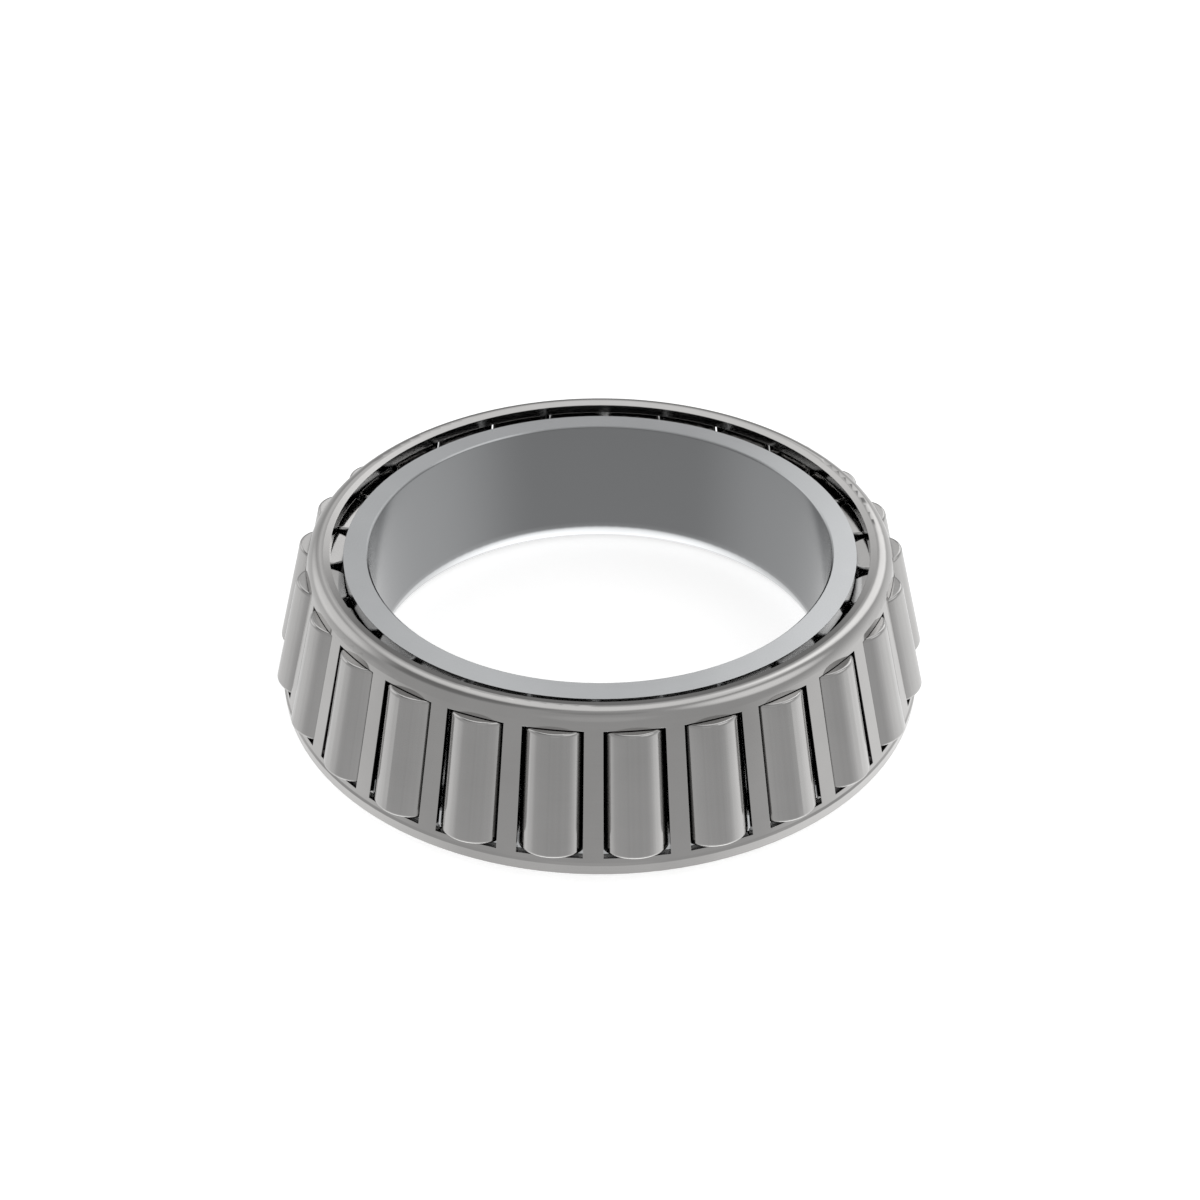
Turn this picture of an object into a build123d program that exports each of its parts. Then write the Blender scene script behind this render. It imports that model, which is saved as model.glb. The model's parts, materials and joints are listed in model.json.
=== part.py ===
"""Cone assembly of a single-row tapered roller bearing, in millimetres.

An inner ring, a pressed steel cage and the tapered rollers that it carries. The origin is the
centre of the ring's back face, and +Z points along the bore towards the small ends of the rollers.
Raceway, rollers and the outer envelope share one apex on the Z axis, so the rollers roll without slip.
"""
from build123d import *
import os
from math import asin, cos, degrees, hypot, pi, radians, sin, sqrt, tan

# Inner ring
bore_diameter = 50.8
ring_width = 17.462
back_corner_radius = 3.5     # bore to back face, clears the fillet of a shaft shoulder
front_chamfer = 0.2          # bore to small-end face
raceway_half_angle = 12.55   # degrees, between the raceway and the Z axis
raceway_wall = 1.582         # bore to raceway, at the rollers' small ends
small_rib_wall = 2.67        # bore to the outside of the small rib
large_rib_width = 2.635      # back face to the raceway's large end
small_rib_width = 2.04       # raceway's small end to the front face
large_rib_height = 2.3       # above the raceway's large end
rib_corner = 0.4             # outer edges of the large rib
undercut_width = 0.6         # relief grooves at both ends of the raceway
undercut_depth = 0.2

# Rollers
roller_count = 26
roller_gap = 0.93            # between neighbouring rollers, at their large ends
roller_corner_radius = 0.32
raceway_fit = 0.02           # running clearance, roller to raceway
rib_fit = 0.03               # running clearance, roller's large end to the large rib
small_rib_fit = 0.25         # roller's small end to the small rib

# Cage
sheet = 1.0                  # thickness of the pressed steel
roller_stand_out = 1.1       # how far the rollers stand out of the cage
bar_width = 2.05             # at the rollers' large ends
bar_small_width = 1.85       # at their small ends
pocket_side_fit = 0.15       # roller to the coined sides of its pocket
pocket_small_end_fit = 0.11  # roller's small end to its pocket
pocket_large_end_fit = 0.26  # roller's large end to its pocket
shoulder_radius = 1.5        # outside of the bend between wall and flange
flange_stand_off = 1.12      # flange to the rollers' small ends
flange_gap = 1.4             # flange's inner edge to the small rib
rim_width = 0.53             # wall left under the pockets, before the lip
lip_step = 0.19              # the lip stands this far outside the wall's edge
lip_height = 1.28            # upright lip at the large end
lip_corner = 0.15            # broken edge under the lip

# Rollers as long as the raceway, ring radii and the common apex
bore_radius = bore_diameter / 2
race_angle = radians(raceway_half_angle)
roller_length = (ring_width - large_rib_width - small_rib_width) / cos(race_angle)
race_small_radius = bore_radius + raceway_wall
race_large_radius = race_small_radius + roller_length * sin(race_angle)
small_rib_radius = bore_radius + small_rib_wall
large_rib_radius = race_large_radius + large_rib_height
far_slant = race_large_radius / sin(race_angle)   # apex to the raceway's large end, along it
near_slant = far_slant - roller_length
apex_height = large_rib_width + far_slant * cos(race_angle)

# Half the rollers' included angle: neighbours in a full circle are roller_gap apart
half_pitch = pi / roller_count
taper = race_angle * sin(half_pitch)
for _ in range(30):
    pitch_radius = far_slant * cos(taper) * sin(race_angle + taper)
    large_roller_radius = pitch_radius * sin(half_pitch) - roller_gap / 2
    taper = asin(large_roller_radius / far_slant)
tilt = race_angle + taper             # roller axis to Z axis
envelope_angle = race_angle + 2 * taper
far_end = far_slant * cos(taper)      # apex to the rollers' large ends, along their axes
near_end = far_end - roller_length


def on_cone(angle, distance, offset=0.0):
    """Point (radius, height) at a distance from the apex along a cone, moved off it along its normal."""
    radius = distance * sin(angle) + offset * cos(angle)
    height = apex_height - distance * cos(angle) + offset * sin(angle)
    return radius, height


def at_radius(angle, offset, radius):
    """Point at a given radius on the line parallel to a cone."""
    return on_cone(angle, (radius - offset * cos(angle)) / sin(angle), offset)


def across(angle, distance, radius):
    """Point at a given radius on the line square to a cone, at a distance from the apex along it."""
    return on_cone(angle, distance, (radius - distance * sin(angle)) / cos(angle))


def roller_plane(azimuth):
    """Plane that holds the Z axis and a roller's axis: origin at the apex, local Y up the roller."""
    turn = radians(azimuth)
    outward = (cos(tilt) * cos(turn), cos(tilt) * sin(turn), sin(tilt))
    return Plane(origin=(0, 0, apex_height), x_dir=outward, z_dir=(sin(turn), -cos(turn), 0))


def vertex_near(sketch, point):
    """The sketch's vertex nearest to a point (radius, height) of the XZ plane."""
    return sketch.vertices().sort_by_distance((point[0], point[1], 0))[0]


def export(piece):
    export_step(piece, f"parts/{piece.label}.step")


os.makedirs("parts", exist_ok=True)

# Inner ring, one turned and ground profile
race_far = on_cone(race_angle, far_slant)
race_near = on_cone(race_angle, near_slant)
rib_face_reach = far_slant + rib_fit   # the large rib's face is ground about the apex
rib_face_inner = on_cone(race_angle, rib_face_reach)
rib_face_outer = (large_rib_radius, apex_height - sqrt(rib_face_reach**2 - large_rib_radius**2))
small_rib_inner = on_cone(race_angle, near_slant - small_rib_fit)
small_rib_outer = across(tilt, near_end - small_rib_fit, small_rib_radius)
bore_back = (bore_radius, 0)
back_outer = (large_rib_radius, 0)

with BuildPart() as inner_ring:
    with BuildSketch(Plane.XZ) as ring_section:
        with BuildLine():
            Polyline(
                bore_back,
                (bore_radius, ring_width - front_chamfer),
                (bore_radius + front_chamfer, ring_width),
                (small_rib_radius, ring_width),
                small_rib_outer,
                small_rib_inner,
                on_cone(race_angle, near_slant, -undercut_depth),
                on_cone(race_angle, near_slant + undercut_width),
                on_cone(race_angle, far_slant - undercut_width),
                on_cone(race_angle, far_slant, -undercut_depth),
                rib_face_inner,
                rib_face_outer,
                back_outer,
                close=True,
            )
        make_face()
        fillet(vertex_near(ring_section, bore_back), back_corner_radius)
        chamfer(vertex_near(ring_section, back_outer), rib_corner)
        fillet(vertex_near(ring_section, rib_face_outer), rib_corner)
    revolve(axis=Axis.Z)
inner_ring.part.label = "inner_ring"
export(inner_ring.part)

# Pocket cutter on +X: the punched window, and the coined seat that follows the roller
wall_offset = -roller_stand_out      # the cage's outside, inside the rollers' envelope
window_top = near_slant - pocket_small_end_fit
window_foot = far_slant + pocket_large_end_fit


def window_half_width(distance, bar):
    """Half the window across the wall, where the bars beside it have a given width."""
    radius = on_cone(envelope_angle, distance, wall_offset)[0]
    return radius * tan(half_pitch) - bar / 2 / cos(half_pitch)


top_half_width = window_half_width(window_top, bar_small_width)
foot_half_width = window_half_width(window_foot, bar_width)
window_plane = Plane(
    origin=(wall_offset * cos(envelope_angle), 0, apex_height + wall_offset * sin(envelope_angle)),
    x_dir=(0, 1, 0),
    z_dir=(cos(envelope_angle), 0, sin(envelope_angle)),
)
seat_radius = far_end * tan(taper) + pocket_side_fit
seat_top = near_end - pocket_small_end_fit / 2
seat_foot = far_end + pocket_large_end_fit / 2

with BuildPart() as pocket:
    with BuildSketch(window_plane):
        with BuildLine():
            Polyline(
                (-foot_half_width, -window_foot),
                (foot_half_width, -window_foot),
                (top_half_width, -window_top),
                (-top_half_width, -window_top),
                close=True,
            )
        make_face()
    extrude(amount=2 * sheet, both=True)
    with BuildSketch(roller_plane(0)):
        with BuildLine():
            Polyline(
                (0, -seat_top),
                (near_end * tan(taper) + pocket_side_fit, -seat_top),
                (seat_radius, -seat_foot),
                (0, -seat_foot),
                close=True,
            )
        make_face()
    revolve(axis=Axis(roller_plane(0).origin, roller_plane(0).y_dir))

# Cage: conical wall, flange square to the rollers at the small end, upright lip at the large end
flange_under = near_end - flange_stand_off
flange_top = flange_under - sheet
flange_radius = small_rib_radius + flange_gap
wall_foot = on_cone(envelope_angle, window_foot + rim_width, wall_offset)
lip_radius = wall_foot[0] + lip_step
lip_top = (lip_radius, wall_foot[1] - lip_step)
lip_foot = (lip_radius, lip_top[1] - lip_height)
flange_edge = across(tilt, flange_top, flange_radius)
flange_edge_under = across(tilt, flange_under, flange_radius)


def wall_meets_flange(depth, distance):
    """Corner of the wall, at a depth from its outside, with a line square to the rollers' axes."""
    offset = wall_offset - depth
    slant = (distance + offset * sin(taper)) / cos(taper)
    return on_cone(envelope_angle, slant, offset)


shoulder = wall_meets_flange(0, flange_top)
shoulder_inside = wall_meets_flange(sheet, flange_under)
lip_inside_top = at_radius(envelope_angle, wall_offset - sheet, lip_radius - sheet)
lip_inside_foot = (lip_radius - sheet, lip_foot[1])

with BuildPart() as cage:
    with BuildSketch(Plane.XZ) as cage_section:
        with BuildLine():
            Polyline(
                lip_foot,
                lip_top,
                wall_foot,
                shoulder,
                flange_edge,
                flange_edge_under,
                shoulder_inside,
                lip_inside_top,
                lip_inside_foot,
                close=True,
            )
        make_face()
        fillet(vertex_near(cage_section, shoulder), shoulder_radius)
        fillet(vertex_near(cage_section, shoulder_inside), shoulder_radius - sheet)
        chamfer(vertex_near(cage_section, lip_foot), lip_corner)
    revolve(axis=Axis.Z)
    with PolarLocations(0, roller_count):
        add(pocket.part, mode=Mode.SUBTRACT)
cage.part.label = "cage"
export(cage.part)

# Rollers, all alike, the first one on +X
large_radius = far_end * tan(taper) - raceway_fit
small_radius = near_end * tan(taper) - raceway_fit
end_sphere_radius = hypot(far_end, large_radius)   # the large end is ground about the apex
middle_angle = asin(large_radius / end_sphere_radius) / 2

for number in range(1, roller_count + 1):
    place = roller_plane((number - 1) * 360 / roller_count)
    with BuildPart() as roller:
        with BuildSketch(place):
            with BuildLine():
                Polyline(
                    (0, -end_sphere_radius),
                    (0, -near_end),
                    (small_radius, -near_end),
                    (large_radius, -far_end),
                )
                ThreePointArc(
                    (large_radius, -far_end),
                    (end_sphere_radius * sin(middle_angle), -end_sphere_radius * cos(middle_angle)),
                    (0, -end_sphere_radius),
                )
            make_face()
        revolve(axis=Axis(place.origin, place.y_dir))
        fillet(roller.edges().filter_by(GeomType.CIRCLE), roller_corner_radius)
    roller.part.label = f"roller_{number:02d}"
    export(roller.part)

print(f"envelope half-angle {degrees(envelope_angle):.3f}, roller tilt {degrees(tilt):.3f} degrees")
print(f"roller radii {large_radius:.3f} and {small_radius:.3f} mm, apex height {apex_height:.3f} mm")
print(f"roller turns per cage turn about the ring {sin(race_angle) / sin(taper):.4f}")
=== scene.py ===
"""Looks of a tapered roller bearing's cone assembly: ground steel, pressed cage, soft studio light.

Metres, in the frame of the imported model: the bore runs along +Z and the back face lies on z = 0.
"""
import json
import math

import bpy
from mathutils import Matrix, Vector


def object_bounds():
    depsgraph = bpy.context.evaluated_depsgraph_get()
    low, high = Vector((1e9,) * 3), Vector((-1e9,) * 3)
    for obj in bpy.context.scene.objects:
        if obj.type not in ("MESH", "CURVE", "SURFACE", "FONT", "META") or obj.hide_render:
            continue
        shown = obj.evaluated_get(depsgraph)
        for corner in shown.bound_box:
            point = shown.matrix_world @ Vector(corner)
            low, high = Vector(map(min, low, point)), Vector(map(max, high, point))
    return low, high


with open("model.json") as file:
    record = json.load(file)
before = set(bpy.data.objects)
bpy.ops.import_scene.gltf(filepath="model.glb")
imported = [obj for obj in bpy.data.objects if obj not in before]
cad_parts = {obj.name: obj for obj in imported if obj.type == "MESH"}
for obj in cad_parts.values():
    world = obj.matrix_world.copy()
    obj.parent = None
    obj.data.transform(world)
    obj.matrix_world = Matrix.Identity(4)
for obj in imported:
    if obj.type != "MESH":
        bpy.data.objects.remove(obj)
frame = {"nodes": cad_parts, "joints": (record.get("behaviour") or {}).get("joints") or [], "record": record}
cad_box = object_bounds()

MM = 0.001
WHITE = (1, 1, 1, 1)

# Camera: in a vertical plane through the bore's axis, looking down at the rollers' small ends
CAMERA_TURN = math.radians(1.06)    # of that plane, from the -Y side towards +X
CAMERA_BACK = 148.1 * MM            # from the bore's axis
CAMERA_HEIGHT = 113.95 * MM
CAMERA_PITCH = math.radians(35.26)  # down from level
CAMERA_LENS = 48.08
SENSOR_WIDTH = 36.0
CLIP_START = 10 * MM

# What every steel surface here shares. Tones are factors on the surface's own tone
SMUDGE_SCALE = 160.0          # patches about 6 mm across
SMUDGE_TONES = (0.96, 1.04)
SMUDGE_ROUGHNESS = (0.9, 1.1)
LINE_TONE = 1.05              # what the turned lines mix towards
LINE_MIX = 0.5                # how far, at most
LINE_ROUGHNESS = 0.02         # either way
LINE_STRETCH = 0.8            # how much the lines vary round the axis
LINE_RELIEF = 0.002 * MM
SPECKLE_SCALE = 4200.0        # grains about a quarter of a millimetre across
SPECKLE_ROUGHNESS = 0.01      # either way
REFLECTION_STREAK_SCALE = 9.0
EDGE_RADIUS = 0.06 * MM       # rounding of sharp edges, in the shading only
EDGE_TURNS = (0.995, 0.80)    # cosine of the turn that rounding gives: the lighter edge (wear and painted highlight) starts, is full
EDGE_WEAR_AND_HIGHLIGHT = 0.3              # how far, at most, an edge mixes towards its bright tone: wear and painted highlight
EDGE_HIGHLIGHT_TONE = 1.5
BRIGHTEST = 0.9
BORE_SHADE_TONE = 0.5               # painted shade: the bore's wall darker than the ring's ground faces
BORE_SHADE_BLEND = (0.01 * MM, 0.12 * MM)   # outside the bore's radius: its painted shade starts to fade, is gone

# The three finishes
RING_STEEL = dict(tone=0.61, warm=-0.018, roughness=0.18, line_pitch=0.11 * MM, line_depth=0.07)
CAGE_STEEL = dict(tone=0.60, warm=0.014, roughness=0.09, line_pitch=0.4 * MM, line_depth=0.06, grain=0.6)
ROLLER_STEEL = dict(
    # The streaks entry sets painted reflection streaks along the rollers
    tone=0.61, warm=0.012, roughness=0.13, line_pitch=0.09 * MM, line_depth=0.05, reflection_streaks=0.06,
    # The last four entries set the painted shade in the gaps beside the rollers
    crevice=1.3 * MM, shut=0.30, open_at=0.66, gap_shade_tone=0.14,
)

# Floor
FLOOR_HALF_SIZE = 2.0
FLOOR_DROP = 0.02 * MM        # under the part
FLOOR_COLOUR = (0.86, 0.86, 0.86, 1)
FLOOR_ROUGHNESS = 0.9
FLOOR_SPECULAR = 0.1
FLOOR_GLOW = 0.74

# Tent: its glow, and how much more of it the lower part has, between two heights of a direction
TENT_GLOW = 0.40
LOW_TENT_EXTRA = 0.2
LOW_TENT_HEIGHTS = (-0.10, -0.75)

# Soft lamps of the tent, and dark gaps between them. For each: azimuth (0 behind the part, 90 on its
# right), elevation, the angles off its middle at which it starts to fade and is gone, all in degrees,
# and how much brighter than the tent it is, or darker
LAMPS = {
    "back": (-3, 59, 10, 25, 0.46),
    "back_low": (-4, 33, 5, 14, 0.14),
    "left_back": (-16, 36, 5, 13, 0.12),
    "right_back": (26, 34, 7, 21, 0.80),
    "front": (180, 37, 8, 22, 0.06),
    "dark_gap_front": (180, 78, 4, 13, -0.08),
    "left": (-55, 30, 8, 26, 0.44),
    "right_top": (97, 53, 7, 25, 0.50),
    "right_low": (55, -32, 10, 75, 0.39),
    "left_low": (-60, -28, 10, 62, 0.25),
    "ground": (0, -90, 8, 42, 0.90),
    "dark_gap_high": (-68, 62, 6, 26, -0.20),
    "dark_gap_back": (0, 8, 3, 24, -0.20),
}


# ---------------------------------------------------------------- node helpers
class Graph:
    """A material's or world's node tree, with short calls for what the finishes repeat."""

    def __init__(self, tree):
        self.tree = tree
        self.tree.nodes.clear()

    def node(self, kind, **settings):
        made = self.tree.nodes.new(kind)
        for name, value in settings.items():
            setattr(made, name, value)
        return made

    def link(self, source, target):
        self.tree.links.new(source, target)

    def feed(self, socket, value):
        """Links another socket, or sets a number or a tuple."""
        if isinstance(value, bpy.types.NodeSocket):
            self.link(value, socket)
        else:
            socket.default_value = value

    def math(self, operation, first, second):
        made = self.node("ShaderNodeMath", operation=operation)
        self.feed(made.inputs[0], first)
        self.feed(made.inputs[1], second)
        return made.outputs[0]

    def vector(self, operation, first, second=None, scale=None):
        made = self.node("ShaderNodeVectorMath", operation=operation)
        self.feed(made.inputs[0], first)
        if second is not None:
            self.feed(made.inputs[1], second)
        if scale is not None:
            made.inputs["Scale"].default_value = scale
        return made.outputs["Value" if operation in ("LENGTH", "DOT_PRODUCT") else "Vector"]

    def combine(self, x, y, z):
        made = self.node("ShaderNodeCombineXYZ")
        for socket, value in zip(made.inputs, (x, y, z)):
            self.feed(socket, value)
        return made.outputs[0]

    def separate(self, vector):
        made = self.node("ShaderNodeSeparateXYZ")
        self.link(vector, made.inputs[0])
        return made.outputs

    def noise(self, vector, scale, detail, roughness, w=None):
        made = self.node("ShaderNodeTexNoise", noise_dimensions="3D" if w is None else "4D")
        self.link(vector, made.inputs["Vector"])
        made.inputs["Scale"].default_value = scale
        made.inputs["Detail"].default_value = detail
        made.inputs["Roughness"].default_value = roughness
        if w is not None:
            self.link(w, made.inputs["W"])
        return made.outputs["Fac"]

    def spread(self, value, low, high, to_low, to_high, smooth=False):
        """Maps low to high onto to_low to to_high, and holds the ends beyond them."""
        made = self.node("ShaderNodeMapRange")
        if smooth:
            made.interpolation_type = "SMOOTHSTEP"
        made.inputs["From Min"].default_value = low
        made.inputs["From Max"].default_value = high
        made.inputs["To Min"].default_value = to_low
        made.inputs["To Max"].default_value = to_high
        self.link(value, made.inputs["Value"])
        return made.outputs["Result"]

    def blend(self, factor, first, second):
        made = self.node("ShaderNodeMix", data_type="RGBA")
        self.feed(made.inputs["Factor"], factor)
        self.feed(made.inputs["A"], first)
        self.feed(made.inputs["B"], second)
        return made.outputs["Result"]


def grey(value, warm):
    return (value * (1 + warm), value, value * (1 - warm), 1.0)


# ---------------------------------------------------------------- steel finishes
def turned_lines(graph, place, pitch):
    """Fine lines round the local Z axis, as a lathe or a grinding wheel leaves them: 0 to 1."""
    x, y, z = graph.separate(place)
    flat = graph.combine(x, y, 0.0)
    radius = graph.vector("LENGTH", flat)
    round_about = graph.vector("NORMALIZE", flat)
    u, v, _ = graph.separate(round_about)
    along = graph.combine(
        graph.math("MULTIPLY", u, LINE_STRETCH),
        graph.math("MULTIPLY", v, LINE_STRETCH),
        graph.math("DIVIDE", z, pitch),
    )
    return graph.noise(along, 1.0, 3.0, 0.65, w=graph.math("DIVIDE", radius, pitch))


def painted_reflection_streaks(graph, place):
    """Painted reflection: faint streaks that run along the local Z axis and vary round it, as stretched
    reflections do: 0 to 1.
    """
    x, y, _ = graph.separate(place)
    round_about = graph.vector("NORMALIZE", graph.combine(x, y, 0.0))
    return graph.noise(round_about, REFLECTION_STREAK_SCALE, 4.0, 0.7)


def in_own_frame(graph, place, own_frame):
    """The place as a matrix of turn and shift gives it."""
    mapping = graph.node("ShaderNodeMapping", vector_type="POINT")
    mapping.inputs["Location"].default_value = own_frame.to_translation()
    mapping.inputs["Rotation"].default_value = own_frame.to_euler()
    graph.link(place, mapping.inputs["Vector"])
    return mapping.outputs[0]


def bore_shade_mask(graph, place, bore):
    """1 on the bore's wall, where painted shade darkens it, 0 a little outside its radius."""
    radius = graph.vector("LENGTH", graph.vector("MULTIPLY", place, (1, 1, 0)))
    fade_starts, gone = BORE_SHADE_BLEND
    return graph.spread(radius, bore + fade_starts, bore + gone, 1.0, 0.0, smooth=True)


def steel(name, tone, warm, roughness, line_pitch, line_depth, own_frame=None, grain=0.0, reflection_streaks=0.0,
          bore=None, crevice=0.8 * MM, shut=0.15, open_at=0.6, gap_shade_tone=0.25):
    """A steel surface: lines round an axis, a slow change of tone, edges lighter from wear and painted
    highlight, and painted shade in its gaps.

    Gaps are where less than the share open_at of the air within crevice is free, and they are darkest
    where it is under shut. own_frame carries a point to the piece's own frame, with its axis along Z.
    """
    material = bpy.data.materials.new(name)
    material.use_nodes = True
    graph = Graph(material.node_tree)
    place = graph.node("ShaderNodeTexCoord").outputs["Object"]
    local = place if own_frame is None else in_own_frame(graph, place, own_frame)

    lines = turned_lines(graph, local, line_pitch)
    smudge = graph.noise(place, SMUDGE_SCALE, 3.0, 0.55)
    speckle = graph.noise(place, SPECKLE_SCALE, 2.0, 0.6)

    edge = graph.node("ShaderNodeBevel", samples=6)
    edge.inputs["Radius"].default_value = EDGE_RADIUS
    true_normal = graph.node("ShaderNodeNewGeometry").outputs["Normal"]
    turn = graph.vector("DOT_PRODUCT", edge.outputs[0], true_normal)
    worn_and_highlit = graph.spread(turn, *EDGE_TURNS, 0.0, 1.0)

    dull, bright = (grey(tone * factor, warm) for factor in SMUDGE_TONES)
    body = graph.blend(graph.spread(smudge, 0.3, 0.7, 0.0, 1.0), dull, bright)
    line_mix = graph.spread(lines, 0.25, 0.75, 0.0, LINE_MIX)
    body = graph.blend(line_mix, body, grey(tone * LINE_TONE, warm))
    if bore is not None:
        # Painted shade: the bore's wall darker in colour
        body = graph.blend(bore_shade_mask(graph, place, bore), body, grey(tone * BORE_SHADE_TONE, warm))
    # Wear and painted highlight: sharp edges lighter in colour
    edge_highlight_mix = graph.math("MULTIPLY", worn_and_highlit, EDGE_WEAR_AND_HIGHLIGHT)
    body = graph.blend(edge_highlight_mix, body, grey(min(tone * EDGE_HIGHLIGHT_TONE, BRIGHTEST), warm))
    # Painted reflection: lengthwise streaks darken the colour a little
    if reflection_streaks:
        reflection_streak_mix = graph.spread(painted_reflection_streaks(graph, local), 0.3, 0.7, 0.0, 1.0)
        body = graph.blend(reflection_streak_mix, body, graph.vector("SCALE", body, scale=1 - reflection_streaks))
    # Painted shade: the colour goes darker where ambient occlusion finds a crevice
    shade = graph.node("ShaderNodeAmbientOcclusion", samples=16)
    shade.inputs["Distance"].default_value = crevice
    unshaded_share = graph.spread(shade.outputs["AO"], shut, open_at, 0.0, 1.0, smooth=True)
    colour = graph.blend(unshaded_share, grey(tone * gap_shade_tone, 0.0), body)

    smooth_spot, rough_spot = (roughness * factor for factor in SMUDGE_ROUGHNESS)
    rough = graph.spread(smudge, 0.25, 0.75, smooth_spot, rough_spot)
    line_rough = graph.spread(lines, 0.3, 0.7, -LINE_ROUGHNESS, LINE_ROUGHNESS)
    rough = graph.math("ADD", rough, line_rough)
    speckle_rough = graph.spread(speckle, 0.3, 0.7, -SPECKLE_ROUGHNESS, SPECKLE_ROUGHNESS)
    rough = graph.math("ADD", rough, speckle_rough)

    height = lines
    if grain:
        line_part = graph.math("MULTIPLY", lines, 1 - grain)
        speckle_part = graph.math("MULTIPLY", speckle, grain)
        height = graph.math("ADD", line_part, speckle_part)
    bump = graph.node("ShaderNodeBump")
    bump.inputs["Strength"].default_value = line_depth
    bump.inputs["Distance"].default_value = LINE_RELIEF
    graph.link(height, bump.inputs["Height"])
    graph.link(edge.outputs[0], bump.inputs["Normal"])

    shader = graph.node("ShaderNodeBsdfPrincipled")
    shader.inputs["Metallic"].default_value = 1.0
    graph.link(colour, shader.inputs["Base Color"])
    graph.link(rough, shader.inputs["Roughness"])
    graph.link(bump.outputs[0], shader.inputs["Normal"])
    output = graph.node("ShaderNodeOutputMaterial")
    graph.link(shader.outputs[0], output.inputs["Surface"])
    return material


def dress(node, material):
    for slot in frame["nodes"][node].material_slots:
        slot.material = material


def roller_frame(joint):
    """Matrix that carries a point to the roller's own frame, with its axis along Z."""
    axis = Vector(joint["axis"])
    turn = axis.rotation_difference(Vector((0, 0, 1))).to_matrix().to_4x4()
    return turn @ Matrix.Translation(-Vector(joint["pos_m"]))


bore_mount = next(mount for mount in frame["record"]["mounts"] if mount["name"] == "bore")
bore_radius = bore_mount["dims"]["r_mm"] * MM
dress("inner_ring", steel("ring_ground_steel", bore=bore_radius, **RING_STEEL))
dress("cage", steel("cage_pressed_steel", **CAGE_STEEL))
for joint in frame["joints"]:
    roller = joint["child"]
    if roller.startswith("roller_"):
        dress(roller, steel(roller + "_ground_steel", own_frame=roller_frame(joint), **ROLLER_STEEL))


# ---------------------------------------------------------------- floor, light and camera
def plain_floor():
    """A pale floor just under the part. The steel doesn't mirror it, but the tent's own lower half."""
    mesh = bpy.data.meshes.new("floor")
    near, far = -FLOOR_HALF_SIZE, FLOOR_HALF_SIZE
    corners = [(near, near, 0), (far, near, 0), (far, far, 0), (near, far, 0)]
    mesh.from_pydata(corners, [], [(0, 1, 2, 3)])
    floor = bpy.data.objects.new("floor", mesh)
    bpy.context.scene.collection.objects.link(floor)
    floor.location.z = cad_box[0][2] - FLOOR_DROP
    material = bpy.data.materials.new("pale_floor")
    material.use_nodes = True
    graph = Graph(material.node_tree)
    shader = graph.node("ShaderNodeBsdfPrincipled")
    shader.inputs["Base Color"].default_value = FLOOR_COLOUR
    shader.inputs["Roughness"].default_value = FLOOR_ROUGHNESS
    shader.inputs["Specular IOR Level"].default_value = FLOOR_SPECULAR
    shader.inputs["Emission Color"].default_value = WHITE
    shader.inputs["Emission Strength"].default_value = FLOOR_GLOW
    output = graph.node("ShaderNodeOutputMaterial")
    graph.link(shader.outputs[0], output.inputs["Surface"])
    mesh.materials.append(material)
    floor.visible_glossy = False


def aim(azimuth, elevation):
    turn, rise = math.radians(azimuth), math.radians(elevation)
    return (math.sin(turn) * math.cos(rise), math.cos(turn) * math.cos(rise), math.sin(rise))


def studio_world():
    """A soft tent with a few large lamps. The camera sees its walls plain white."""
    world = bpy.data.worlds.new("studio")
    bpy.context.scene.world = world
    world.use_nodes = True
    graph = Graph(world.node_tree)
    direction = graph.node("ShaderNodeTexCoord").outputs["Generated"]
    height = graph.separate(direction)[2]
    glow = graph.spread(height, *LOW_TENT_HEIGHTS, TENT_GLOW, TENT_GLOW + LOW_TENT_EXTRA, smooth=True)
    for azimuth, elevation, fade_starts, gone, strength in LAMPS.values():
        near = graph.vector("DOT_PRODUCT", direction, aim(azimuth, elevation))
        outside, inside = math.cos(math.radians(gone)), math.cos(math.radians(fade_starts))
        lamp = graph.spread(near, outside, inside, 0.0, strength, smooth=True)
        glow = graph.math("ADD", glow, lamp)
    tent = graph.node("ShaderNodeBackground")
    tent.inputs["Color"].default_value = WHITE
    graph.link(glow, tent.inputs["Strength"])
    wall = graph.node("ShaderNodeBackground")
    wall.inputs["Color"].default_value = WHITE
    seen = graph.node("ShaderNodeMixShader")
    graph.link(graph.node("ShaderNodeLightPath").outputs["Is Camera Ray"], seen.inputs[0])
    graph.link(tent.outputs[0], seen.inputs[1])
    graph.link(wall.outputs[0], seen.inputs[2])
    output = graph.node("ShaderNodeOutputWorld")
    graph.link(seen.outputs[0], output.inputs["Surface"])


def photo_camera():
    data = bpy.data.cameras.new("camera")
    data.sensor_width = SENSOR_WIDTH
    data.lens = CAMERA_LENS
    data.clip_start = CLIP_START
    camera = bpy.data.objects.new("camera", data)
    camera.location = Matrix.Rotation(CAMERA_TURN, 3, "Z") @ Vector((0, -CAMERA_BACK, CAMERA_HEIGHT))
    camera.rotation_euler = (math.pi / 2 - CAMERA_PITCH, 0, CAMERA_TURN)
    bpy.context.scene.collection.objects.link(camera)
    bpy.context.scene.camera = camera


plain_floor()
studio_world()
photo_camera()
bpy.context.scene.view_settings.view_transform = "Standard"
